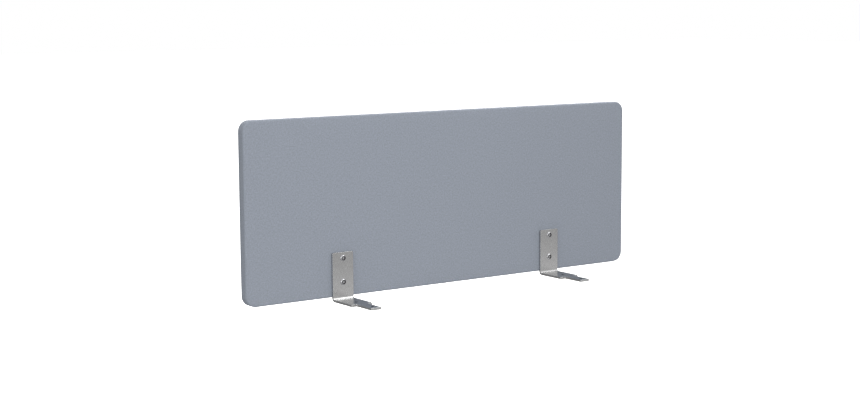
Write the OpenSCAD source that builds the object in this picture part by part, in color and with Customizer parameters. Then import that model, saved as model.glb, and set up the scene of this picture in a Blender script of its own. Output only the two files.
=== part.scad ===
// Desk privacy panel: a padded, fabric-covered board on two steel angle brackets.
// +X runs along the panel, +Y from the sitter towards the panel, +Z up.
// The origin is the middle of the four desk screw holes, on the top of the feet.

/* [Panel] */
// Width over the cover
panel_w = 800; // [700:10:1600]
// Height over the cover
panel_h = 300; // [240:10:450]
// Outer radius of the four corners
corner_r = 18; // [12:1:30]
// Radius of the soft edge around each face
edge_r = 2.5; // [2:0.1:3]
// Thickness of the wooden board
board_t = 12; // [12:1:18]
// Thickness of each foam sheet
foam_t = 2.5; // [2.5:0.5:5]
// Thickness of the cover fabric
cover_t = 0.5; // [0.4:0.1:1]

/* [Brackets] */
// Distance from a panel end to the middle of its bracket
bracket_inset = 180; // [100:5:250]
// Width of the flange and of the wide part of the foot
bracket_w = 40; // [36:1:60]
// Thickness of the steel plate
plate_t = 4; // [3:0.5:5]
// Inner radius of the bend
bend_r = 3; // [2:0.5:4]
// Height of the flange above the top of the foot
flange_h = 78; // [76:1:100]
// Reach of the foot from the panel's face to the tip of the tongue
foot_len = 105; // [104:1:140]
// Reach of the wide part of the foot
shoulder_len = 62; // [56:1:68]
// Width of the tongue
tongue_w = 20; // [16:1:30]
// Gap between the panel's lower edge and the top of the foot
panel_gap = 3; // [2:0.5:4]

/* [Desk screw holes] */
// Distance from the panel's face to the first hole
desk_hole_first = 43; // [40:1:46]
// Distance between the two holes of a foot
desk_hole_pitch = 50; // [46:1:54]
// Radius of each hole, for a 5 mm wood screw
desk_hole_r = 2.75; // [2:0.25:3.5]

/* [Panel screws] */
// Height of the lower screw above the top of the foot
screw_low = 28; // [24:1:30]
// Distance between the two screws of a bracket
screw_pitch = 40; // [34:1:40]
// Length of the screw under its head
screw_len = 16; // [13:1:17]
// Radius of the screw's shank
shank_r = 3; // [2.5:0.5:3]

/* [Hidden] */
$fn = 64;
skin_gap = 0.1;
thread_t = 0.5;
thread_sunk = 0.15;
thread_deep = 0.35;

foot_clear = 0.3;
flange_corner_r = 2.5;
foot_corner_r = 2;
desk_hole_mid = desk_hole_first + desk_hole_pitch / 2;

head_r = 5.25;
head_h = 3.3;
head_dome_r = 6.2;
socket_af = 4;
socket_deep = 2;
shank_tip = 0.6;

insert_r = 4.6;
insert_rim_r = 6.2;
insert_rim_t = 1;
insert_len = 11;
bore_play = 0.05;

staple_n = 10;
staple_wire = 0.5;
staple_w = 1.2;
staple_crown = 10;
staple_leg = 6;
staple_margin = 20;
staple_board_inset = 4;
tape_w = 12;
tape_t = 0.5;

panel_t = board_t + 2 * (foam_t + cover_t);
face_y = desk_hole_mid;
back_y = face_y + panel_t;
board_y = face_y + cover_t + foam_t;
seam_y = face_y + panel_t * 2 / 3;
low_z = panel_gap;
left_x = bracket_inset - panel_w / 2;
right_x = -left_x;
upper_z = screw_low + screw_pitch;
overcut = 1;

cover_grey = [0.56, 0.59, 0.63];
foam_cream = [0.90, 0.87, 0.76];
board_brown = [0.72, 0.58, 0.42];
thread_grey = [0.42, 0.45, 0.50];
tape_grey = [0.50, 0.53, 0.57];
nickel = [0.70, 0.70, 0.69];
bright_zinc = [0.86, 0.86, 0.88];
brass_yellow = [0.80, 0.66, 0.36];

// A rod of radius r along +Y, starting at y.
module rod_y(r, len, x, y, z) {
    translate([x, y, z]) rotate([-90, 0, 0]) cylinder(r = r, h = len);
}

// The four places where a screw goes through the panel's face.
module at_screws() {
    for (x = [left_x, right_x])
        for (z = [screw_low, upper_z])
            translate([x, 0, z]) children();
}

// Cross-section of a slab's rim: r wide, d thick, rounded by e at its outer top.
module rim_profile(r, d, e) {
    square([r - e, d]);
    square([r, d - e]);
    translate([r - e, d - e]) intersection() {
        circle(r = e);
        square(e);
    }
}

// Flat slab centred on Z with round corners c, its top edge rounded by e.
module soft_slab(w, h, d, c, e) {
    translate([c - w / 2, c - h / 2, 0]) cube([w - 2 * c, h - 2 * c, d]);
    for (k = [0:3]) {
        across = (k % 2 == 0 ? w : h) / 2 - c;
        along = (k % 2 == 0 ? h : w) / 2 - c;
        rotate([0, 0, 90 * k]) translate([across, along, 0]) {
            rotate([90, 0, 0]) linear_extrude(2 * along) rim_profile(c, d, e);
            rotate_extrude(angle = 90) rim_profile(c, d, e);
        }
    }
}

// Stands a slab up in the panel's place: its soft edge at y, its body d deep behind it.
module stand_front(y, d) {
    translate([0, y + d, low_z + panel_h / 2]) rotate([90, 0, 0]) children();
}

// The same, seen from the back of the panel: the soft edge at y, the body in front of it.
module stand_back(y, d) {
    translate([0, y - d, low_z + panel_h / 2]) rotate([-90, 0, 0]) children();
}

// A slab smaller all round than the panel's outline by inset.
module panel_slab(d, inset) {
    soft_slab(panel_w - 2 * inset, panel_h - 2 * inset, d, corner_r - inset, edge_r - inset);
}

// Outline of the panel, smaller all round by inset.
module panel_outline(inset) {
    w = panel_w - 2 * inset;
    h = panel_h - 2 * inset;
    c = corner_r - inset;
    square([w, h - 2 * c], center = true);
    square([w - 2 * c, h], center = true);
    for (x = [-1, 1])
        for (z = [-1, 1])
            translate([x * (w / 2 - c), z * (h / 2 - c)]) circle(r = c);
}

// One staple in the panel's lower edge: its crown sunk flush with the cover, its legs in the board.
module staple() {
    leg_x = (staple_crown - staple_wire) / 2;
    translate([-staple_crown / 2, -staple_w / 2, 0])
        cube([staple_crown, staple_w, staple_wire]);
    for (side = [-1, 1])
        translate([side * leg_x - staple_wire / 2, -staple_w / 2, 0])
            cube([staple_wire, staple_w, staple_leg + staple_wire]);
}

module staple_rows() {
    pitch = (panel_w - 2 * corner_r - 2 * staple_margin) / (staple_n - 1);
    back_row = (seam_y + thread_t / 2 + board_y + board_t) / 2;
    for (y = [board_y + staple_board_inset, back_row])
        for (i = [0:staple_n - 1])
            translate([(i - (staple_n - 1) / 2) * pitch, y, low_z]) staple();
}

module core_board() {
    inset = cover_t + skin_gap;
    color(board_brown) difference() {
        translate([0, board_y + board_t, low_z + panel_h / 2])
            rotate([90, 0, 0]) linear_extrude(board_t) panel_outline(inset);
        at_screws() {
            rod_y(insert_r, insert_len + overcut, 0, board_y - overcut, 0);
            rod_y(insert_rim_r, insert_rim_t + overcut, 0, board_y - overcut, 0);
            rod_y(shank_r + bore_play, board_t + overcut, 0, board_y, 0);
        }
        staple_rows();
    }
}

module front_foam() {
    color(foam_cream) difference() {
        stand_front(face_y + cover_t, foam_t) panel_slab(foam_t, cover_t + skin_gap);
        at_screws() rod_y(shank_r + foot_clear, panel_t, 0, face_y, 0);
    }
}

module back_foam() {
    color(foam_cream)
        stand_back(back_y - cover_t, foam_t) panel_slab(foam_t, cover_t + skin_gap);
}

module front_cover() {
    deep = seam_y - thread_t / 2 - face_y;
    color(cover_grey) difference() {
        stand_front(face_y, deep) panel_slab(deep, 0);
        stand_front(face_y + cover_t, deep) panel_slab(deep, cover_t);
        at_screws() rod_y(shank_r + foot_clear, panel_t, 0, face_y - overcut, 0);
        staple_rows();
    }
}

module back_cover() {
    deep = back_y - seam_y - thread_t / 2;
    color(cover_grey) difference() {
        stand_back(back_y, deep) panel_slab(deep, 0);
        stand_back(back_y - cover_t, deep) panel_slab(deep, cover_t);
        staple_rows();
    }
}

// The sewn seam runs up both ends and along the top; the lower edge is closed by staples.
module seam_thread() {
    color(thread_grey)
        translate([0, seam_y + thread_t / 2, low_z + panel_h / 2])
            rotate([90, 0, 0]) linear_extrude(thread_t) difference() {
                panel_outline(thread_sunk);
                panel_outline(thread_sunk + thread_deep);
                translate([0, corner_r - panel_h]) square([panel_w, panel_h], center = true);
            }
}

module staples() {
    color(bright_zinc) staple_rows();
}

module closing_tape() {
    len = panel_w - 2 * corner_r;
    color(tape_grey)
        translate([-len / 2, face_y + (panel_t - tape_w) / 2, low_z - tape_t])
            cube([len, tape_w, tape_t]);
}

// Threaded insert in the board, its mouth towards the bracket.
module threaded_insert(x, z) {
    color(brass_yellow) difference() {
        union() {
            rod_y(insert_r, insert_len, x, board_y, z);
            rod_y(insert_rim_r, insert_rim_t, x, board_y, z);
        }
        rod_y(shank_r + bore_play, insert_len + 2 * overcut, x, board_y - overcut, z);
    }
}

// Side view of the bent plate: Y to the right, Z up, the flange's back at y = 0.
module plate_side() {
    outer_r = bend_r + plate_t;
    translate([-plate_t, bend_r]) square([plate_t, flange_h - bend_r]);
    translate([-foot_len, -plate_t]) square([foot_len - outer_r, plate_t]);
    translate([-outer_r, bend_r]) difference() {
        intersection() {
            circle(r = outer_r);
            translate([0, -outer_r]) square(outer_r);
        }
        circle(r = bend_r);
    }
}

// A square-ended bar from z = low up to z = high, its two top corners rounded by r.
module round_top(w, low, high, r) {
    translate([-w / 2, low]) square([w, high - low - r]);
    translate([r - w / 2, low]) square([w - 2 * r, high - low]);
    for (side = [-1, 1])
        translate([side * (w / 2 - r), high - r]) circle(r = r);
}

// The foot from above: a wide shoulder that steps in to a tongue.
module foot_plan() {
    rotate(180) {
        round_top(bracket_w, -overcut, shoulder_len, foot_corner_r);
        round_top(tongue_w, 0, foot_len, foot_corner_r);
    }
}

// L-shaped bracket, its flange flat against the panel's face.
module bracket(x) {
    reach = foot_len + 2 * overcut;
    color(nickel) difference() {
        translate([x, face_y, 0]) intersection() {
            rotate([90, 0, 90]) translate([0, 0, -bracket_w / 2])
                linear_extrude(bracket_w) plate_side();
            translate([0, 0, -plate_t - overcut])
                linear_extrude(flange_h + plate_t + 2 * overcut) foot_plan();
            rotate([90, 0, 0]) translate([0, 0, -overcut]) linear_extrude(reach)
                round_top(bracket_w, -plate_t - overcut, flange_h, flange_corner_r);
        }
        for (z = [screw_low, upper_z])
            rod_y(shank_r + foot_clear, plate_t + 2 * overcut, x, face_y - plate_t - overcut, z);
        for (y = [desk_hole_first, desk_hole_first + desk_hole_pitch])
            translate([x, face_y - y, -plate_t - overcut])
                cylinder(r = desk_hole_r, h = plate_t + 2 * overcut);
    }
}

// Button-head screw with a hexagon socket, its head on the outside of the flange.
module panel_screw(x, z) {
    socket_r = socket_af / sqrt(3);
    color(bright_zinc) translate([x, face_y - plate_t, z]) rotate([90, 0, 0]) difference() {
        union() {
            intersection() {
                cylinder(r = head_r, h = head_h);
                translate([0, 0, head_h - head_dome_r]) sphere(r = head_dome_r);
            }
            translate([0, 0, shank_tip - screw_len]) cylinder(r = shank_r, h = screw_len - shank_tip);
            translate([0, 0, -screw_len])
                cylinder(r1 = shank_r - shank_tip, r2 = shank_r, h = shank_tip);
        }
        translate([0, 0, head_h - socket_deep])
            cylinder(r = socket_r, h = socket_deep + overcut, $fn = 6);
    }
}

core_board();
front_foam();
back_foam();
front_cover();
back_cover();
seam_thread();
staples();
closing_tape();
threaded_insert(left_x, screw_low);  // insert_left_lower
threaded_insert(left_x, upper_z);  // insert_left_upper
threaded_insert(right_x, screw_low);  // insert_right_lower
threaded_insert(right_x, upper_z);  // insert_right_upper
bracket(left_x);  // left_bracket
bracket(right_x);  // right_bracket
panel_screw(left_x, screw_low);  // screw_left_lower
panel_screw(left_x, upper_z);  // screw_left_upper
panel_screw(right_x, screw_low);  // screw_right_lower
panel_screw(right_x, upper_z);  // screw_right_upper
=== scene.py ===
import bmesh
import bpy
import math
from mathutils import Matrix, Vector, noise


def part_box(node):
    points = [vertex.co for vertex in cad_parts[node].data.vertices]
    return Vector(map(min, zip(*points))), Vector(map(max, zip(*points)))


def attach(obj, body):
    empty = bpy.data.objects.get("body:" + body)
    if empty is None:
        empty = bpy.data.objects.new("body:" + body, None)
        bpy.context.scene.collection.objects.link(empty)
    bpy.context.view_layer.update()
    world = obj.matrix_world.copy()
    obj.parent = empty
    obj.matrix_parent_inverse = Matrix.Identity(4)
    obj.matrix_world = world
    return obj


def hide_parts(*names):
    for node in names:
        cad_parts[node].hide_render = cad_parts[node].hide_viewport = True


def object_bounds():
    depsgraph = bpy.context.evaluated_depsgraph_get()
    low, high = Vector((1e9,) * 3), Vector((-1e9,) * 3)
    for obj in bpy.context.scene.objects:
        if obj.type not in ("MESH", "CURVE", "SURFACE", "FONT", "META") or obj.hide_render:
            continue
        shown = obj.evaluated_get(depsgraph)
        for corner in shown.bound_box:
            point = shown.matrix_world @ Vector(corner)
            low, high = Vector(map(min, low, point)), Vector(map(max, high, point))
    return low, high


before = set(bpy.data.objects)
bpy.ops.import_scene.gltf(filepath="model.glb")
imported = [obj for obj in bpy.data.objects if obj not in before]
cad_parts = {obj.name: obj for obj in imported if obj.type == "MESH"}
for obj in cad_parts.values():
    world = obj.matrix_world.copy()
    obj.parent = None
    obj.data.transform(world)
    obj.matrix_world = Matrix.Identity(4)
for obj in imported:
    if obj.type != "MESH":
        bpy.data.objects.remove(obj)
cadLow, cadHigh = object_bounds()
mm = 0.001


def hexToLinear(text):
    values = []
    for i in (0, 2, 4):
        c = int(text[i:i + 2], 16) / 255
        values.append(c / 12.92 if c <= 0.04045 else ((c + 0.055) / 1.055) ** 2.4)
    return (*values, 1.0)


def addNode(tree, kind, settings=None, links=None):
    node = tree.nodes.new(kind)
    for key, value in (settings or {}).items():
        if isinstance(key, int) or key in node.inputs:
            node.inputs[key].default_value = value
        else:
            setattr(node, key, value)
    for key, source in (links or {}).items():
        tree.links.new(source, node.inputs[key])
    return node


def startMaterial(name, settings):
    material = bpy.data.materials.new(name)
    material.use_nodes = True
    tree = material.node_tree
    tree.nodes.clear()
    shader = addNode(tree, "ShaderNodeBsdfPrincipled", settings)
    addNode(tree, "ShaderNodeOutputMaterial", None, {"Surface": shader.outputs[0]})
    return material, tree, shader


# Materials

wovenCover = {
    "warp": "868C96",
    "weft": "747981",
    "pitch": 0.9,  # mm from yarn to yarn, about twice the real spacing so that it shows close up
    "slub": 2.4,  # mm, size of the paler and darker spots of a blended yarn
    "streak": 4.5,  # mm, length of one shade along a yarn
    "relief": 0.14,  # mm, height of one yarn over the next
    "roughness": 0.92,
    "sheen": 0.1,
    "contrast": (0.4, 0.6),  # range of the mottle that runs from the dark grey to the pale one
    "warpShare": 0.25,  # how much of the shade comes from which yarn lies on top
    "fuzz": 0.12,  # how much of the relief comes from loose fibre
}


def wovenPolyester():
    # Plain-woven blended polyester: matt, softly lit at its edges, each yarn spun from two greys.
    cloth = wovenCover
    material, tree, shader = startMaterial("wovenPolyester", {
        "Roughness": cloth["roughness"], "Specular IOR Level": 0.25, "IOR": 1.5,
        "Sheen Weight": cloth["sheen"], "Sheen Roughness": 0.45,
        "Sheen Tint": hexToLinear("DDE1E8")})
    uv = addNode(tree, "ShaderNodeUVMap", {"uv_map": "cloth"}).outputs[0]
    yarns = addNode(tree, "ShaderNodeVectorMath",
                    {"operation": "SCALE", "Scale": math.pi / (cloth["pitch"] * mm)}, {0: uv})
    split = addNode(tree, "ShaderNodeSeparateXYZ", None, {0: yarns.outputs[0]})
    across = addNode(tree, "ShaderNodeMath", {"operation": "SINE"}, {0: split.outputs[0]})
    along = addNode(tree, "ShaderNodeMath", {"operation": "SINE"}, {0: split.outputs[1]})
    # Over and under: the product changes sign from one crossing to the next.
    crossing = addNode(tree, "ShaderNodeMath", {"operation": "MULTIPLY"},
                       {0: across.outputs[0], 1: along.outputs[0]})
    yarnTop = addNode(tree, "ShaderNodeMath", {"operation": "ABSOLUTE"}, {0: crossing.outputs[0]})
    warpOver = addNode(tree, "ShaderNodeMapRange", {"From Min": -0.3, "From Max": 0.3},
                       {"Value": crossing.outputs[0]})
    slubs = addNode(tree, "ShaderNodeTexNoise",
                    {"Scale": 1 / (cloth["slub"] * mm), "Detail": 2.0, "Roughness": 0.6},
                    {"Vector": uv})
    tones = []
    for scaleX, scaleY in ((cloth["streak"], cloth["pitch"]), (cloth["pitch"], cloth["streak"])):
        drawn = addNode(tree, "ShaderNodeMapping",
                        {"Scale": (1 / (scaleX * mm), 1 / (scaleY * mm), 1.0)}, {"Vector": uv})
        tones.append(addNode(tree, "ShaderNodeTexNoise", {"Scale": 1.0, "Detail": 1.0},
                             {"Vector": drawn.outputs[0]}).outputs[0])
    streaks = addNode(tree, "ShaderNodeMix", {"data_type": "FLOAT"},
                      {0: warpOver.outputs[0], 2: tones[0], 3: tones[1]})
    mottle = addNode(tree, "ShaderNodeMix", {"data_type": "FLOAT", 0: 0.5},
                     {2: slubs.outputs[0], 3: streaks.outputs[0]})
    dark, pale = cloth["contrast"]
    blend = addNode(tree, "ShaderNodeMapRange", {"From Min": dark, "From Max": pale},
                    {"Value": mottle.outputs[0]})
    shade = addNode(tree, "ShaderNodeMix", {"data_type": "FLOAT", 0: cloth["warpShare"]},
                    {2: blend.outputs[0], 3: warpOver.outputs[0]})
    colour = addNode(tree, "ShaderNodeMix",
                     {"data_type": "RGBA", 6: hexToLinear(cloth["weft"]),
                      7: hexToLinear(cloth["warp"])}, {0: shade.outputs[0]})
    tree.links.new(colour.outputs[2], shader.inputs["Base Color"])
    height = addNode(tree, "ShaderNodeMix", {"data_type": "FLOAT", 0: cloth["fuzz"]},
                     {2: yarnTop.outputs[0], 3: slubs.outputs[0]})
    bump = addNode(tree, "ShaderNodeBump",
                   {"Strength": 0.6, "Distance": cloth["relief"] * mm},
                   {"Height": height.outputs[0]})
    tree.links.new(bump.outputs[0], shader.inputs["Normal"])
    return material


satinPlate = {
    "colour": "CECECE",
    "edgeTint": "F0F0F0",  # plate stays a little under white where it is seen at a low angle
    "darkLines": "B9B9B9",
    "roughness": (0.17, 0.28),
    "grain": 0.25,  # mm, width of one brushed line, coarser than the real one so that it shows
    "stretch": 24,  # how many times longer than wide a line is
    "smudge": 11.11,  # mm, size of the slightly duller patches
    "scratch": 0.018,  # mm deep
}


def satinNickel():
    # Nickel plate over belt-brushed steel: neutral grey, soft reflections drawn out by fine lines.
    plate = satinPlate
    material, tree, shader = startMaterial("satinNickel", {
        "Metallic": 1.0,
        "Specular Tint": hexToLinear(plate["edgeTint"])})
    place = addNode(tree, "ShaderNodeUVMap", {"uv_map": "plate"}).outputs[0]
    lineWide, lineLong = plate["grain"] * mm, plate["grain"] * plate["stretch"] * mm
    drawn = addNode(tree, "ShaderNodeMapping", {"Scale": (1 / lineWide, 1 / lineLong, 1.0)},
                    {"Vector": place})
    lines = addNode(tree, "ShaderNodeTexNoise", {"Scale": 1.0, "Detail": 4.0, "Roughness": 0.65},
                    {"Vector": drawn.outputs[0]})
    smudges = addNode(tree, "ShaderNodeTexNoise",
                      {"Scale": 1 / (plate["smudge"] * mm), "Detail": 2.0}, {"Vector": place})
    mixed = addNode(tree, "ShaderNodeMix", {"data_type": "FLOAT", 0: 0.35},
                    {2: lines.outputs[0], 3: smudges.outputs[0]})
    low, high = plate["roughness"]
    rough = addNode(tree, "ShaderNodeMapRange",
                    {"From Min": 0.3, "From Max": 0.7, "To Min": low, "To Max": high},
                    {"Value": mixed.outputs[0]})
    tree.links.new(rough.outputs[0], shader.inputs["Roughness"])
    brushed = addNode(tree, "ShaderNodeMapRange", {"From Min": 0.35, "From Max": 0.65},
                      {"Value": lines.outputs[0]})
    colour = addNode(tree, "ShaderNodeMix",
                     {"data_type": "RGBA", 6: hexToLinear(plate["darkLines"]),
                      7: hexToLinear(plate["colour"])}, {0: brushed.outputs[0]})
    tree.links.new(colour.outputs[2], shader.inputs["Base Color"])
    bump = addNode(tree, "ShaderNodeBump",
                   {"Strength": 0.4, "Distance": plate["scratch"] * mm},
                   {"Height": lines.outputs[0]})
    tree.links.new(bump.outputs[0], shader.inputs["Normal"])
    return material


def brightMetal(name, colour, rough, grain, relief):
    # A plated or turned metal: a fine grain breaks up its shine. Grain and relief are in mm.
    material, tree, shader = startMaterial(name, {
        "Base Color": hexToLinear(colour), "Metallic": 1.0})
    place = addNode(tree, "ShaderNodeTexCoord").outputs["Object"]
    specks = addNode(tree, "ShaderNodeTexNoise",
                     {"Scale": 1 / (grain * mm), "Detail": 3.0}, {"Vector": place})
    low, high = rough
    spread = addNode(tree, "ShaderNodeMapRange",
                     {"From Min": 0.3, "From Max": 0.7, "To Min": low, "To Max": high},
                     {"Value": specks.outputs[0]})
    tree.links.new(spread.outputs[0], shader.inputs["Roughness"])
    bump = addNode(tree, "ShaderNodeBump", {"Strength": 0.2, "Distance": relief * mm},
                   {"Height": specks.outputs[0]})
    tree.links.new(bump.outputs[0], shader.inputs["Normal"])
    return material


def sewingThread():
    # Twisted polyester thread, a shade darker than the cloth.
    material, tree, shader = startMaterial("sewingThread", {
        "Roughness": 0.7, "Sheen Weight": 0.2, "Sheen Roughness": 0.4})
    place = addNode(tree, "ShaderNodeTexCoord").outputs["Object"]
    twist = addNode(tree, "ShaderNodeTexWave",
                    {"Scale": 1 / (1.4 * mm), "bands_direction": "DIAGONAL", "Distortion": 0.5},
                    {"Vector": place})
    colour = addNode(tree, "ShaderNodeMix",
                     {"data_type": "RGBA", 6: hexToLinear("6E757F"), 7: hexToLinear("8A919C")},
                     {0: twist.outputs["Fac"]})
    tree.links.new(colour.outputs[2], shader.inputs["Base Color"])
    bump = addNode(tree, "ShaderNodeBump", {"Strength": 0.5, "Distance": 0.05 * mm},
                   {"Height": twist.outputs["Fac"]})
    tree.links.new(bump.outputs[0], shader.inputs["Normal"])
    return material


def cottonTape():
    # Grey-blue herringbone tape: matt, with slanting ribs a millimetre apart.
    material, tree, shader = startMaterial("cottonTape", {
        "Roughness": 0.95, "Sheen Weight": 0.15, "Specular IOR Level": 0.2})
    place = addNode(tree, "ShaderNodeTexCoord").outputs["Object"]
    ribs = addNode(tree, "ShaderNodeTexWave",
                   {"Scale": 1 / (3.2 * mm), "bands_direction": "DIAGONAL", "Distortion": 0.4,
                    "Detail": 2.0}, {"Vector": place})
    colour = addNode(tree, "ShaderNodeMix",
                     {"data_type": "RGBA", 6: hexToLinear("7C838D"), 7: hexToLinear("949BA6")},
                     {0: ribs.outputs["Fac"]})
    tree.links.new(colour.outputs[2], shader.inputs["Base Color"])
    bump = addNode(tree, "ShaderNodeBump", {"Strength": 0.6, "Distance": 0.15 * mm},
                   {"Height": ribs.outputs["Fac"]})
    tree.links.new(bump.outputs[0], shader.inputs["Normal"])
    return material


def porousSolid(name, light, dark, cell, roughness, relief):
    # Open-cell foam or pressed fibre: small dark pits in a pale matt body. Cell and relief in mm.
    material, tree, shader = startMaterial(name, {"Roughness": roughness})
    place = addNode(tree, "ShaderNodeTexCoord").outputs["Object"]
    cells = addNode(tree, "ShaderNodeTexVoronoi", {"Scale": 1 / (cell * mm)}, {"Vector": place})
    fibres = addNode(tree, "ShaderNodeTexNoise",
                     {"Scale": 0.3 / (cell * mm), "Detail": 5.0}, {"Vector": place})
    mixed = addNode(tree, "ShaderNodeMix", {"data_type": "FLOAT", 0: 0.5},
                    {2: cells.outputs["Distance"], 3: fibres.outputs[0]})
    colour = addNode(tree, "ShaderNodeMix",
                     {"data_type": "RGBA", 6: hexToLinear(light), 7: hexToLinear(dark)},
                     {0: mixed.outputs[0]})
    tree.links.new(colour.outputs[2], shader.inputs["Base Color"])
    bump = addNode(tree, "ShaderNodeBump", {"Strength": 0.5, "Distance": relief * mm},
                   {"Height": mixed.outputs[0]})
    tree.links.new(bump.outputs[0], shader.inputs["Normal"])
    return material


finishes = {
    "cloth": wovenPolyester(),
    "nickel": satinNickel(),
    "zinc": brightMetal("brightZincPlate", "A8A8AB", (0.10, 0.18), 0.3, 0.008),
    "wire": brightMetal("galvanisedWire", "B9BBBD", (0.3, 0.45), 0.4, 0.02),
    # cutHole and socket are near-black: painted shade for the insides of the desk holes and screw
    # sockets.
    "cutHole": brightMetal("holeWallPaintedShade", "1C1C1C", (0.4, 0.55), 0.25, 0.03),
    "socket": brightMetal("socketWallPaintedShade", "2A2A2C", (0.3, 0.45), 0.25, 0.02),
    "brass": brightMetal("turnedBrass", "D6B064", (0.18, 0.32), 0.3, 0.015),
    "thread": sewingThread(),
    "tape": cottonTape(),
    "foam": porousSolid("polyurethaneFoam", "EFE7CC", "C9BD98", 0.8, 0.95, 0.4),
    "board": porousSolid("fibreboard", "B9966B", "8E6C46", 0.5, 0.85, 0.1),
}
print("materials made")


# Meshes

def showMesh(name, mesh, material, node):
    piece = bpy.data.objects.new(name, mesh)
    bpy.context.scene.collection.objects.link(piece)
    mesh.materials.append(finishes[material])
    for face in mesh.polygons:
        face.use_smooth = True
    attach(piece, "root")
    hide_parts(node)
    return piece


def meshFrom(body, name):
    mesh = bpy.data.meshes.new(name)
    body.to_mesh(mesh)
    body.free()
    return mesh


def skinRows(body, rows):
    # Faces between each closed row of points and the next.
    count = len(rows[0])
    for low, high in zip(rows, rows[1:]):
        for i in range(count):
            j = (i + 1) % count
            body.faces.new((low[i], low[j], high[j], high[i]))


def joinRings(name, rings):
    # A solid from a stack of closed rings that all have the same number of points.
    body = bmesh.new()
    rows = [[body.verts.new(p) for p in ring] for ring in rings]
    skinRows(body, rows)
    body.faces.new(list(reversed(rows[0])))
    body.faces.new(rows[-1])
    bmesh.ops.recalc_face_normals(body, faces=body.faces)
    return meshFrom(body, name)


# Panel

frontLow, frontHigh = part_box("front_cover")
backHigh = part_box("back_cover")[1]
seamLow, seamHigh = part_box("seam_thread")
boardLow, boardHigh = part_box("core_board")
bracketBoxes = [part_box("left_bracket"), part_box("right_bracket")]
panel = {
    "halfWidth": (frontHigh[0] - frontLow[0]) / 2,
    "halfHeight": (frontHigh[2] - frontLow[2]) / 2,
    "midX": (frontHigh[0] + frontLow[0]) / 2,
    "midZ": (frontHigh[2] + frontLow[2]) / 2,
    "frontY": frontLow[1],
    "backY": backHigh[1],
    "seamY": (seamLow[1] + seamHigh[1]) / 2,
    "corner": 18 * mm,
    "edge": 2.8 * mm,  # radius of the soft edge
    "cornerCut": 0.43,  # share of that radius that cloth saves by going round and not square
    "crown": 0.9 * mm,  # how far the padding swells between edge and middle
    "crownReach": 7 * mm,
    "ripple": 0.05 * mm,  # slow unevenness of foam and cloth
    "rippleRate": 14,  # waves of it to a metre
    "pressReach": 6 * mm,  # how far a flange's print spreads
    "step": 3.2 * mm,  # mesh spacing
    "edgeShare": 0.4,  # of that spacing, on the face near its edge
    "edgeReach": 8 * mm,
    "sideStep": 2.4 * mm,  # mesh spacing across the side
    "middle": 0.2 * mm,  # half height of the last ring, along the face's middle
    "cloth": 0.5 * mm,
    "hem": 0.9 * mm,  # of the side, where the cloth turns in to the seam
    "hemTurn": [(1.3 * mm, 0.0), (0.45 * mm, 0.05 * mm), (0.12 * mm, 0.3 * mm)],  # in, and off the seam
    "foamGap": 0.58 * mm,  # from the cover's outside to the foam
    "foamEdge": 2.0 * mm,
    "arcSteps": 10,
    "weld": 0.02 * mm,
}


def outline(inset):
    # The panel's outline, smaller all round by inset: points (x, z) and outward directions.
    a, b = panel["halfWidth"] - inset, panel["halfHeight"] - inset
    radius = max(panel["corner"] - inset, 0.0)
    sides = [
        ((a, -b + radius), (a, b - radius), (1, 0)),
        ((a - radius, b), (-a + radius, b), (0, 1)),
        ((-a, b - radius), (-a, -b + radius), (-1, 0)),
        ((-a + radius, -b), (a - radius, -b), (0, -1)),
    ]
    points = []
    for k, (start, end, out) in enumerate(sides):
        full = panel["halfHeight"] if k % 2 == 0 else panel["halfWidth"]
        count = round(2 * full / panel["step"])
        for i in range(count):
            t = i / count
            x = start[0] + (end[0] - start[0]) * t
            z = start[1] + (end[1] - start[1]) * t
            points.append((x, z, *out))
        centre = (end[0] - radius * out[0], end[1] - radius * out[1])
        turn = math.atan2(out[1], out[0])
        for i in range(panel["arcSteps"]):
            angle = turn + math.pi / 2 * i / panel["arcSteps"]
            outX, outZ = math.cos(angle), math.sin(angle)
            points.append((centre[0] + radius * outX, centre[1] + radius * outZ, outX, outZ))
    return points


def underFlange(x, z):
    # 1 under a flange, falling to 0 a few millimetres outside it.
    most = 0.0
    for low, high in bracketBoxes:
        aside = max(low[0] - x, x - high[0], 0.0)
        above = max(z - high[2], 0.0)
        most = max(most, math.exp(-(math.hypot(aside, above) / panel["pressReach"]) ** 2))
    return most


def faceRings(edge):
    # Insets of the rings that cover a flat face, close together near its edge.
    insets = []
    inset = edge
    last = panel["halfHeight"] - panel["middle"]
    while inset < last:
        inset += panel["step"] * (panel["edgeShare"] if inset < panel["edgeReach"] else 1.0)
        insets.append(min(inset, last))
    return insets


def softEdge(inset, depth, radius, arc=8):
    # Quarter round from the side to the face.
    turns = [math.pi / 2 * i / arc for i in range(arc + 1)]
    return [(inset + radius * (1 - math.cos(t)), depth + radius * (1 - math.sin(t))) for t in turns]


def coverProfile(depth):
    # (inset, depth behind the face) from the turned-in hem at the seam to the middle of the face.
    edge = panel["edge"]
    path = [(inset, depth - above) for inset, above in panel["hemTurn"]]
    straight = depth - panel["hem"] - edge
    steps = max(1, round(straight / panel["sideStep"]))
    path += [(0.0, depth - panel["hem"] - straight * i / steps) for i in range(steps)]
    path += softEdge(0.0, 0.0, edge)
    return path + [(inset, 0.0) for inset in faceRings(edge)]


def foamProfile(depth):
    gap, edge = panel["foamGap"], panel["foamEdge"]
    path = [(gap, depth)] + softEdge(gap, gap, edge)
    return path + [(inset, gap) for inset in faceRings(gap + edge)]


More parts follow.
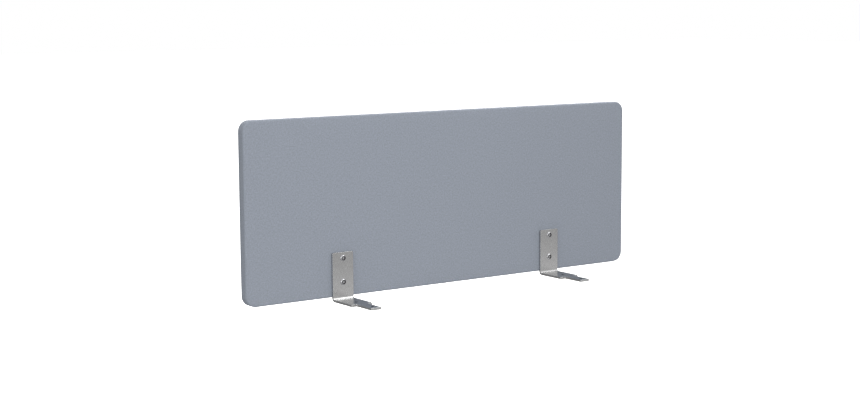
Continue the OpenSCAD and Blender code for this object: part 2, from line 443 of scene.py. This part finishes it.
def padSurface(name, profile, faceY, towards, lift, closed=False):
    # One padded half of the panel. towards is -1 for the front half and 1 for the back half.
    body = bmesh.new()
    rows = []
    uvOf = {}
    edge = max(inset for inset, deep in profile if deep > profile[-1][1])
    for inset, deep in profile:
        row = []
        for x, z, outX, outZ in outline(min(inset, panel["halfHeight"])):
            px, pz = panel["midX"] + x, panel["midZ"] + z
            swell = 0.0
            if inset > edge:
                wave = Vector((x * panel["rippleRate"], (z + 5 * towards) * panel["rippleRate"], 3.7))
                swell = lift(px, pz, inset - edge) + panel["ripple"] * noise.noise(wave)
            if towards < 0:
                swell *= 1 - underFlange(px, pz)
            vert = body.verts.new((px, faceY - towards * (deep - swell), pz))
            reach = deep + max(0.0, panel["edge"] * panel["cornerCut"] - inset)
            uvOf[vert] = (px + outX * reach, pz + outZ * reach)
            row.append(vert)
        rows.append(row)
    skinRows(body, rows)
    body.faces.new(rows[-1])
    if closed:
        body.faces.new(rows[0])
    layer = body.loops.layers.uv.new("cloth")
    for face in body.faces:
        for loop in face.loops:
            loop[layer].uv = uvOf[loop.vert]
    bmesh.ops.remove_doubles(body, verts=body.verts, dist=panel["weld"])
    bmesh.ops.recalc_face_normals(body, faces=body.faces)
    sample = max(body.faces, key=lambda face: abs(face.normal.y) * face.calc_area())
    if not closed and sample.normal.y * towards < 0:
        bmesh.ops.reverse_faces(body, faces=body.faces)
    return meshFrom(body, name)


stretch = {
    "spacing": 8 * mm,  # of the sheet that is simulated
    "frames": 16,
    "pressure": 2.2,  # of the foam behind the cloth
    "slack": 0.8 * mm,  # lift at which the foam has opened by two thirds
    "quality": 6,  # solver steps for each frame
    "mass": 0.25,  # kg for each point of the sheet
    "tension": 25,  # and compression
    "shear": 12,
    "bending": 0.4,
    "damping": 4,  # by the air
}


def quickLift(x, z, inward):
    return panel["crown"] * (1 - math.exp(-inward / panel["crownReach"]))


def simulateLift(name, flanges):
    # A flat sheet, pinned round its edge and under the flanges, is blown out by the foam behind it.
    # How far it lifts, eased to the foam's thickness, is the swell of the cover and of its pad.
    halfX, halfZ = panel["halfWidth"] - panel["edge"], panel["halfHeight"] - panel["edge"]
    across, up = round(2 * halfX / stretch["spacing"]), round(2 * halfZ / stretch["spacing"])
    body = bmesh.new()
    rows = []
    for j in range(up + 1):
        z = panel["midZ"] - halfZ + 2 * halfZ * j / up
        rows.append([body.verts.new((panel["midX"] - halfX + 2 * halfX * i / across, 0, z))
                     for i in range(across + 1)])
    for low, high in zip(rows, rows[1:]):
        for i in range(across):
            body.faces.new((low[i], low[i + 1], high[i + 1], high[i]))
    mesh = meshFrom(body, name)
    sheet = bpy.data.objects.new(name, mesh)
    bpy.context.scene.collection.objects.link(sheet)
    pins = sheet.vertex_groups.new(name="held")
    for j in range(up + 1):
        for i in range(across + 1):
            index = j * (across + 1) + i
            x, z = mesh.vertices[index].co.x, mesh.vertices[index].co.z
            atEdge = i in (0, across) or j in (0, up)
            atFlange = any(low[0] < x < high[0] and z < high[2] for low, high in flanges)
            if atEdge or atFlange:
                pins.add([index], 1.0, "REPLACE")
    cloth = sheet.modifiers.new("blownCloth", "CLOTH")
    cloth.settings.vertex_group_mass = "held"
    cloth.settings.quality = stretch["quality"]
    cloth.settings.mass = stretch["mass"]
    cloth.settings.tension_stiffness = stretch["tension"]
    cloth.settings.compression_stiffness = stretch["tension"]
    cloth.settings.shear_stiffness = stretch["shear"]
    cloth.settings.bending_stiffness = stretch["bending"]
    cloth.settings.air_damping = stretch["damping"]
    cloth.settings.use_pressure = True
    cloth.settings.uniform_pressure_force = stretch["pressure"]
    cloth.settings.effector_weights.gravity = 0
    cloth.collision_settings.use_collision = False
    cloth.point_cache.frame_start = 1
    cloth.point_cache.frame_end = stretch["frames"]
    scene = bpy.context.scene
    for number in range(1, stretch["frames"] + 1):
        scene.frame_set(number)
    evaluated = sheet.evaluated_get(bpy.context.evaluated_depsgraph_get())
    blown = evaluated.to_mesh()
    heights = [abs(vert.co.y) for vert in blown.vertices]
    evaluated.to_mesh_clear()
    bpy.data.objects.remove(sheet)
    scene.frame_set(1)
    print(name, "lifted", round(max(heights) / mm, 2), "mm")

    def lift(x, z, inward):
        u = min(max((x - panel["midX"] + halfX) / (2 * halfX) * across, 0.0), across - 0.001)
        v = min(max((z - panel["midZ"] + halfZ) / (2 * halfZ) * up, 0.0), up - 0.001)
        i, j = int(u), int(v)
        s, t = u - i, v - j
        start = j * (across + 1) + i
        near = heights[start] * (1 - s) + heights[start + 1] * s
        far = heights[start + across + 1] * (1 - s) + heights[start + across + 2] * s
        height = near * (1 - t) + far * t
        return panel["crown"] * (1 - math.exp(-height / stretch["slack"]))

    return lift


def addCover(name, node, faceY, towards, depth, lift):
    mesh = padSurface(name, coverProfile(depth), faceY, towards, lift)
    piece = showMesh(name, mesh, "cloth", node)
    thick = piece.modifiers.new("clothThickness", "SOLIDIFY")
    thick.thickness = panel["cloth"]
    thick.offset = -1.0


def addPad(name, node, faceY, towards, depth, lift):
    mesh = padSurface(name, foamProfile(depth), faceY, towards, lift, closed=True)
    piece = showMesh(name, mesh, "foam", node)


frontDepth = panel["seamY"] - panel["frontY"]
backDepth = panel["backY"] - panel["seamY"]
frontLift = backLift = quickLift
frontLift = simulateLift("frontSheet", bracketBoxes)
backLift = simulateLift("backSheet", [])
addCover("cover_front_cloth", "front_cover", panel["frontY"], -1, frontDepth, frontLift)
addCover("cover_back_cloth", "back_cover", panel["backY"], 1, backDepth, backLift)
addPad("pad_front_foam", "front_foam", panel["frontY"], -1, boardLow[1] - panel["frontY"], frontLift)
addPad("pad_back_foam", "back_foam", panel["backY"], 1, panel["backY"] - boardHigh[1], backLift)
print("covers and foam made")

# Seam and tape

stitch = {
    "spacing": 3.0,  # mm from stitch to stitch
    "reach": 1.25,  # half the stitch, across the seam
    "slant": 0.45,
    "dive": 0.32,  # how deep its ends go into the cloth
    "proud": 0.06,
    "thread": 0.2,  # radius
    "taper": 0.45,  # how much thinner its ends are
    "rings": 5,
    "sides": 6,
}


def seamPath(step):
    # Places every step along both ends and the top: (x, z) and outward directions.
    a, b, c = panel["halfWidth"], panel["halfHeight"], panel["corner"]
    places = []

    def addLine(start, end, out):
        count = round((Vector(end) - Vector(start)).length / step)
        for i in range(count):
            point = Vector(start).lerp(Vector(end), (i + 0.5) / count)
            places.append((point.x, point.y, *out))

    def addCorner(x, z, first):
        count = round(math.pi / 2 * c / step)
        for i in range(count):
            angle = math.radians(first - 90 * (i + 0.5) / count)
            out = (math.cos(angle), math.sin(angle))
            places.append((x + c * out[0], z + c * out[1], *out))

    addLine((-a, -b + c), (-a, b - c), (-1, 0))
    addCorner(-a + c, b - c, 180)
    addLine((-a + c, b), (a - c, b), (0, 1))
    addCorner(a - c, b - c, 90)
    addLine((a, b - c), (a, -b + c), (1, 0))
    return places


def addSeam(name, node):
    body = bmesh.new()
    for x, z, outX, outZ in seamPath(stitch["spacing"] * mm):
        out = Vector((outX, 0, outZ))
        along = Vector((outZ, 0, -outX))
        base = Vector((panel["midX"] + x, panel["seamY"], panel["midZ"] + z))
        rows = []
        for i in range(stitch["rings"]):
            t = 2 * i / (stitch["rings"] - 1) - 1
            height = stitch["proud"] - (stitch["proud"] + stitch["dive"]) * t * t
            centre = base + (Vector((0, stitch["reach"] * t, 0)) + along * stitch["slant"] * t
                             + out * height) * mm
            radius = stitch["thread"] * (1 - stitch["taper"] * abs(t) ** 3) * mm
            row = []
            for k in range(stitch["sides"]):
                angle = 2 * math.pi * k / stitch["sides"]
                around = along * math.cos(angle) + out * math.sin(angle)
                row.append(body.verts.new(centre + around * radius))
            rows.append(row)
        skinRows(body, rows)
        body.faces.new(rows[0])
        body.faces.new(rows[-1])
    bmesh.ops.recalc_face_normals(body, faces=body.faces)
    showMesh(name, meshFrom(body, name), "thread", node)


tape = {
    "step": 6.0,  # mm between cross-sections
    "softEdge": 0.18,
    "wander": 0.15,  # how far its edges stray
    "wanderRate": 0.012,  # waves to a millimetre
    "unevenness": 0.04,
    "unevenRate": 0.05,
}


def addTape(name, node):
    low, high = (Vector(v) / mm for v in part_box(node))
    halfWidth, halfThick = (high.y - low.y) / 2, (high.z - low.z) / 2
    middle = (low + high) / 2
    count = round((high.x - low.x) / tape["step"])
    soft = tape["softEdge"]
    section = []
    for sideY, sideZ, first in ((1, 1, 0), (-1, 1, 90), (-1, -1, 180), (1, -1, 270)):
        for k in range(4):
            angle = math.radians(first + 30 * k)
            section.append((sideY * (halfWidth - soft) + soft * math.cos(angle),
                            sideZ * (halfThick - soft) + soft * math.sin(angle)))
    rings = []
    for i in range(count + 1):
        x = low.x + (high.x - low.x) * i / count
        stray = tape["wander"] * noise.noise(Vector((x * tape["wanderRate"], 0.3, 0.0)))
        sag = tape["unevenness"] * (noise.noise(Vector((x * tape["unevenRate"], 4.1, 0.0))) - 0.5)
        rings.append([Vector((x, middle.y + y + stray, middle.z + z + (sag if z < 0 else 0.0))) * mm
                      for y, z in section])
    piece = showMesh(name, joinRings(name, rings), "tape", node)


addSeam("seam_stitches", "seam_thread")
addTape("closing_tape_strip", "closing_tape")
print("seam and tape made")

# Brackets

plate = {
    "thick": 4.0,
    "bendInner": 3.0,
    "footReach": 105.0,  # from the panel's face to the tip
    "shoulderReach": 62.0,
    "tongueWidth": 20.0,
    "holeReach": (43.0, 93.0),
    "holeRadius": 2.75,
    "screwHoleRadius": 3.3,
    "footCorner": 2.0,
    "flangeCorner": 2.5,
    "innerCorner": 0.8,
    "softEdge": 0.35,
    "bendSteps": 14,
    "cornerSteps": 6,
    "holeSteps": 40,
    "weld": 0.002,
    "snap": 0.0005,  # points this close to a cut lie on it
}


def roundedOutline(corners):
    # Polygon through corners (x, y, radius), each rounded by an arc.
    points = []
    count = len(corners)
    for i, (x, y, radius) in enumerate(corners):
        here = Vector((x, y))
        before = (Vector(corners[i - 1][:2]) - here).normalized()
        after = (Vector(corners[(i + 1) % count][:2]) - here).normalized()
        start, end = here + before * radius, here + after * radius
        centre = here + (before + after) * radius
        for k in range(plate["cornerSteps"] + 1):
            t = math.pi / 2 * k / plate["cornerSteps"]
            points.append(centre + (start - centre) * math.cos(t) + (end - centre) * math.sin(t))
    return points


def circlePoints(x, y, radius):
    angles = [2 * math.pi * i / plate["holeSteps"] for i in range(plate["holeSteps"])]
    return [Vector((x + radius * math.cos(angle), y + radius * math.sin(angle))) for angle in angles]


def addBracket(name, node, screwNodes):
    low, high = (Vector(v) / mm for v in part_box(node))
    midX, faceY, topZ = (low.x + high.x) / 2, high.y, high.z
    half = (high.x - low.x) / 2
    footTop = low.z + plate["thick"]
    outer = plate["bendInner"] + plate["thick"]
    footFlat = plate["footReach"] - outer
    arc = math.pi / 2 * (plate["bendInner"] + plate["thick"] / 2)
    bendZ = footTop + plate["bendInner"]
    length = footFlat + arc + topZ - bendZ
    tongue = plate["tongueWidth"] / 2
    shoulder = plate["footReach"] - plate["shoulderReach"]
    foot, inner, top = plate["footCorner"], plate["innerCorner"], plate["flangeCorner"]
    blank = [roundedOutline([
        (-tongue, 0, foot), (tongue, 0, foot), (tongue, shoulder, inner), (half, shoulder, foot),
        (half, length, top), (-half, length, top), (-half, shoulder, foot), (-tongue, shoulder, inner)])]
    holeCentres = [plate["footReach"] - reach for reach in plate["holeReach"]]
    for centreY in holeCentres:
        blank.append(circlePoints(0, centreY, plate["holeRadius"]))
    for screw in screwNodes:
        a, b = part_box(screw)
        screwZ = (a[2] + b[2]) / 2 / mm
        blank.append(circlePoints(0, footFlat + arc + screwZ - bendZ, plate["screwHoleRadius"]))
    # The blank is cut flat with its edges eased, then bent, as the real one is.
    curve = bpy.data.curves.new(name, "CURVE")
    curve.dimensions = "2D"
    curve.fill_mode = "BOTH"
    curve.bevel_depth = plate["softEdge"]
    curve.bevel_resolution = 2
    curve.offset = -plate["softEdge"]
    curve.extrude = plate["thick"] / 2 - plate["softEdge"]
    for points in blank:
        spline = curve.splines.new("POLY")
        spline.points.add(len(points) - 1)
        for target, p in zip(spline.points, points):
            target.co = (p.x, p.y, 0, 1)
        spline.use_cyclic_u = True
    blankObject = bpy.data.objects.new(name + "Blank", curve)
    bpy.context.scene.collection.objects.link(blankObject)
    bpy.context.view_layer.update()
    evaluated = blankObject.evaluated_get(bpy.context.evaluated_depsgraph_get())
    flat = bpy.data.meshes.new_from_object(evaluated)
    bpy.data.objects.remove(blankObject)
    body = bmesh.new()
    body.from_mesh(flat)
    bmesh.ops.remove_doubles(body, verts=body.verts, dist=plate["weld"])
    for i in range(plate["bendSteps"] + 1):
        cut = footFlat + arc * i / plate["bendSteps"]
        bmesh.ops.bisect_plane(body, geom=body.verts[:] + body.edges[:] + body.faces[:],
                               plane_co=(0, cut, 0), plane_no=(0, 1, 0), dist=plate["snap"])
    # The walls and eased rims of the desk holes, near a hole's centre and not part of the flat, get the
    # near-black finish as painted shade inside the holes.
    rim = plate["holeRadius"] + plate["softEdge"]
    wallFaces = set()
    for face in body.faces:
        middle = face.calc_center_median()
        nearHole = any(math.hypot(middle.x, middle.y - centreY) < rim for centreY in holeCentres)
        isFlat = abs(face.normal.z) >= 0.95
        if nearHole and not isFlat:
            wallFaces.add(face)
    layer = body.loops.layers.uv.new("plate")
    for face in body.faces:
        for loop in face.loops:
            loop[layer].uv = (loop.vert.co.x * mm, loop.vert.co.y * mm)
    bendMiddle = plate["bendInner"] + plate["thick"] / 2
    for vert in body.verts:
        x, along, above = vert.co
        radius = bendMiddle - above
        turn = min(max((along - footFlat) / arc, 0.0), 1.0) * math.pi / 2
        y = faceY - outer + radius * math.sin(turn) + min(along - footFlat, 0.0)
        z = bendZ - radius * math.cos(turn) + max(along - footFlat - arc, 0.0)
        vert.co = Vector((midX + x, y, z)) * mm
    bmesh.ops.recalc_face_normals(body, faces=body.faces)
    holeWall = [face in wallFaces for face in body.faces]
    mesh = meshFrom(body, name)
    piece = showMesh(name, mesh, "nickel", node)
    # Second slot: painted shade for the hole walls.
    mesh.materials.append(finishes["cutHole"])
    for face in mesh.polygons:
        if holeWall[face.index]:
            face.material_index = 1
    piece.modifiers.new("faceNormals", "WEIGHTED_NORMAL").keep_sharp = True


addBracket("bracket_left_plate", "left_bracket", ["screw_left_lower", "screw_left_upper"])
addBracket("bracket_right_plate", "right_bracket", ["screw_right_lower", "screw_right_upper"])
print("brackets made")

# Screws

buttonHead = {
    "height": 3.3,
    "dome": 6.2,  # radius of its sphere
    "domeRings": (5.18, 5.0, 4.75, 4.45, 4.15, 3.85),
    # Height and radius, from the shank out to the start of the dome.
    "rim": [(-0.3, 3.0), (0.0, 3.2), (0.0, 5.05), (0.06, 5.19), (0.2, 5.25), (0.36, 5.25)],
    "mouth": 3.6,  # radius of the cone that leads in to the socket
    # Depth, half the width across flats and how much of a hexagon it is, from 0 to 1.
    "socketLead": [(0.35, 2.15, 0.7), (0.5, 2.0, 1.0)],
    "socketFloor": [(0.0, 2.0, 1.0), (0.05, 1.8, 0.5), (0.3, 0.3, 0.0)],
    "socketDeep": 2.0,
    "shank": 3.0,
    "core": 2.55,  # radius at the foot of the thread
    "pitch": 1.0,
    "threadRings": 6,  # for each turn
    "tip": 1.9,
    "leadIn": 0.5,  # of the thread at the tip
    "plain": 1.0,  # length under the head without thread
    "segments": 48,
}
socketTurns = {  # degrees, as each screw came to rest when it was driven home
    "screw_left_lower": 12,
    "screw_left_upper": 41,
    "screw_right_lower": 27,
    "screw_right_upper": 3,
}


def addScrew(node):
    head = buttonHead
    low, high = (Vector(v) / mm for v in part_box(node))
    midX, midZ = (low.x + high.x) / 2, (low.z + high.z) / 2
    tipY = high.y
    seatY = bracketBoxes[0][1][1] / mm - plate["thick"]  # the front of the flange
    count = head["segments"]
    turn = math.radians(socketTurns[node])
    angles = [2 * math.pi * i / count for i in range(count)]

    def domeHeight(radius):
        return head["height"] - head["dome"] + math.sqrt(head["dome"] ** 2 - radius ** 2)

    def ring(height, radius, hexShare=0.0):
        points = []
        for angle in angles:
            flat = (angle + math.pi / 6) % (math.pi / 3) - math.pi / 6
            r = radius * (1 - hexShare + hexShare / math.cos(flat))
            across, up = r * math.cos(angle + turn), r * math.sin(angle + turn)
            points.append(Vector((midX + across, seatY - height, midZ + up)) * mm)
        return points

    def threadRing(height):
        points = []
        for angle in angles:
            phase = (height / head["pitch"] + angle / (2 * math.pi)) % 1.0
            r = head["core"] + (head["shank"] - head["core"]) * (1 - abs(2 * phase - 1))
            across, up = r * math.cos(angle), r * math.sin(angle)
            points.append(Vector((midX + across, seatY - height, midZ + up)) * mm)
        return points

    length = tipY - seatY
    threaded = length - head["leadIn"] - head["plain"]
    rings = [ring(-length, head["tip"])]
    steps = round(threaded / head["pitch"] * head["threadRings"])
    for i in range(steps + 1):
        rings.append(threadRing(-length + head["leadIn"] + threaded * i / steps))
    for height, radius in head["rim"]:
        rings.append(ring(height, radius))
    for radius in head["domeRings"]:
        rings.append(ring(domeHeight(radius), radius))
    mouthHeight, floorHeight = domeHeight(head["mouth"]), head["height"] - head["socketDeep"]
    mouthRing = len(rings)
    rings.append(ring(mouthHeight, head["mouth"]))
    for deep, radius, hexShare in head["socketLead"]:
        rings.append(ring(mouthHeight - deep, radius, hexShare))
    floorRing = len(rings)
    for deep, radius, hexShare in head["socketFloor"]:
        rings.append(ring(floorHeight - deep, radius, hexShare))
    mesh = joinRings(node, rings)
    showMesh(node + "_turned", mesh, "zinc", node)
    mesh.set_sharp_from_angle(angle=math.radians(40))
    # The socket's mouth and wall take a near-black finish, painted shade for the dark recess; its floor
    # keeps the zinc finish.
    mesh.materials.append(finishes["socket"])
    for face in mesh.polygons[mouthRing * count:floorRing * count]:
        face.material_index = 1


for screwNode in socketTurns:
    addScrew(screwNode)
print("screws made")

# Carried-over nodes

carried = {
    "core_board": "board",
    "staples": "wire",
    "insert_left_lower": "brass",
    "insert_left_upper": "brass",
    "insert_right_lower": "brass",
    "insert_right_upper": "brass",
}
for nodeName, finish in carried.items():
    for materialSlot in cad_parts[nodeName].material_slots:
        materialSlot.material = finishes[finish]
print("inner pieces finished")

# Stage

studio = {
    "camera": (-1.5572, -2.1031, 0.4772),
    "heading": 34.931,  # degrees from +Y towards +X
    "tilt": 7.209,  # degrees below level
    "roll": -0.327,
    "lens": 65.07,
    "sensor": 36.0,
    "floorDrop": 0.45,  # below the object, so that no shadow shows
    "floorHalf": 30,
}
cameraData = bpy.data.cameras.new("studioCamera")
cameraData.lens = studio["lens"]
cameraData.sensor_width = studio["sensor"]
camera = bpy.data.objects.new("studioCamera", cameraData)
bpy.context.scene.collection.objects.link(camera)
camera.matrix_world = (
    Matrix.Translation(studio["camera"])
    @ Matrix.Rotation(math.radians(-studio["heading"]), 4, "Z")
    @ Matrix.Rotation(math.radians(90 - studio["tilt"]), 4, "X")
    @ Matrix.Rotation(math.radians(studio["roll"]), 4, "Z"))
bpy.context.scene.camera = camera

floorMaterial = startMaterial("paleFloor", {
    "Base Color": hexToLinear("F9F9F9"), "Roughness": 0.9,
    "Emission Color": hexToLinear("FFFFFF"), "Emission Strength": 0.6})[0]
floorBody = bmesh.new()
bmesh.ops.create_grid(floorBody, x_segments=4, y_segments=4, size=studio["floorHalf"])
floorMesh = meshFrom(floorBody, "studioFloor")
floorMesh.materials.append(floorMaterial)
floor = bpy.data.objects.new("studioFloor", floorMesh)
floor.location.z = cadLow[2] - studio["floorDrop"]
floor.visible_glossy = False
floor.visible_diffuse = False
bpy.context.scene.collection.objects.link(floor)


def addSoftbox(name, place, target, width, height, power, mirrored=True):
    data = bpy.data.lights.new(name, "AREA")
    data.shape = "RECTANGLE"
    data.size = width
    data.size_y = height
    data.energy = power
    lamp = bpy.data.objects.new(name, data)
    lamp.location = place
    lamp.rotation_mode = "QUATERNION"
    lamp.rotation_quaternion = (Vector(target) - Vector(place)).to_track_quat("-Z", "Y")
    lamp.visible_camera = False
    lamp.visible_glossy = mirrored
    bpy.context.scene.collection.objects.link(lamp)


# Place, target, width and height in metres, and power in watts.
addSoftbox("keySoftbox", (-0.3, -1.3, 0.5), (-0.25, 0.07, 0.15), 0.9, 0.7, 8.5, mirrored=False)
addSoftbox("cornerSoftbox", (-2.2, -0.8, 0.15), (-0.1, 0.0, 0.05), 0.9, 1.1, 8)
addSoftbox("overheadStrip", (0.6, -0.25, 1.35), (0.0, 0.0, 0.0), 1.4, 0.2, 4)
addSoftbox("rearStrip", (0.8, 0.4, 1.35), (0.0, 0.1, 0.1), 1.4, 0.3, 6)
addSoftbox("lowFill", (-0.35, -0.7, -0.35), (-0.3, 0.07, 0.1), 1.2, 0.4, 0.6, mirrored=False)
addSoftbox("floorBounce", (0.1, -0.45, -0.14), (0.1, 0.07, 0.03), 1.4, 0.12, 0.16)
addSoftbox("backSoftbox", (1.2, 2.3, 1.2), (0.0, 0.08, 0.15), 1.6, 1.2, 60)

# The room: bright overhead, grey around the horizon and darkest low down behind the panel.
roomBands = {  # height on the sky's sphere, from -1 to 1, and brightness
    "front": [(-1.0, 0.85), (-0.35, 0.55), (-0.12, 0.43), (0.1, 0.95), (0.5, 1.15), (1.0, 1.6)],
    "back": [(-1.0, 0.85), (-0.4, 0.35), (0.0, 0.25), (0.2, 0.5), (0.5, 1.1), (1.0, 1.6)],
}
world = bpy.data.worlds.new("studioRoom")
bpy.context.scene.world = world
world.use_nodes = True
room = world.node_tree
room.nodes.clear()
axes = addNode(room, "ShaderNodeSeparateXYZ", None,
               {0: addNode(room, "ShaderNodeTexCoord").outputs["Generated"]})
height = addNode(room, "ShaderNodeMapRange", {"From Min": -1.0, "From Max": 1.0},
                 {"Value": axes.outputs[2]})
halves = []
for bands in (roomBands["front"], roomBands["back"]):
    shade = addNode(room, "ShaderNodeValToRGB", None, {0: height.outputs[0]})
    ramp = shade.color_ramp
    while len(ramp.elements) < len(bands):
        ramp.elements.new(0.5)
    for element, (level, value) in zip(ramp.elements, bands):
        element.position = (level + 1) / 2
        element.color = (value, value, value, 1)
    halves.append(shade.outputs[0])
behind = addNode(room, "ShaderNodeMapRange",
                 {"interpolation_type": "SMOOTHSTEP", "From Min": -0.3, "From Max": 0.5},
                 {"Value": axes.outputs[1]})
around = addNode(room, "ShaderNodeMix", {"data_type": "RGBA"},
                 {0: behind.outputs[0], 6: halves[0], 7: halves[1]})
seen = addNode(room, "ShaderNodeBackground", {"Color": (1, 1, 1, 1), "Strength": 1.0})
lit = addNode(room, "ShaderNodeBackground", {"Strength": 1.0}, {"Color": around.outputs[2]})
rays = addNode(room, "ShaderNodeLightPath")
both = addNode(room, "ShaderNodeMixShader", None,
               {0: rays.outputs["Is Camera Ray"], 1: lit.outputs[0], 2: seen.outputs[0]})
addNode(room, "ShaderNodeOutputWorld", None, {"Surface": both.outputs[0]})
bpy.context.scene.view_settings.view_transform = "Standard"
print("stage lit")
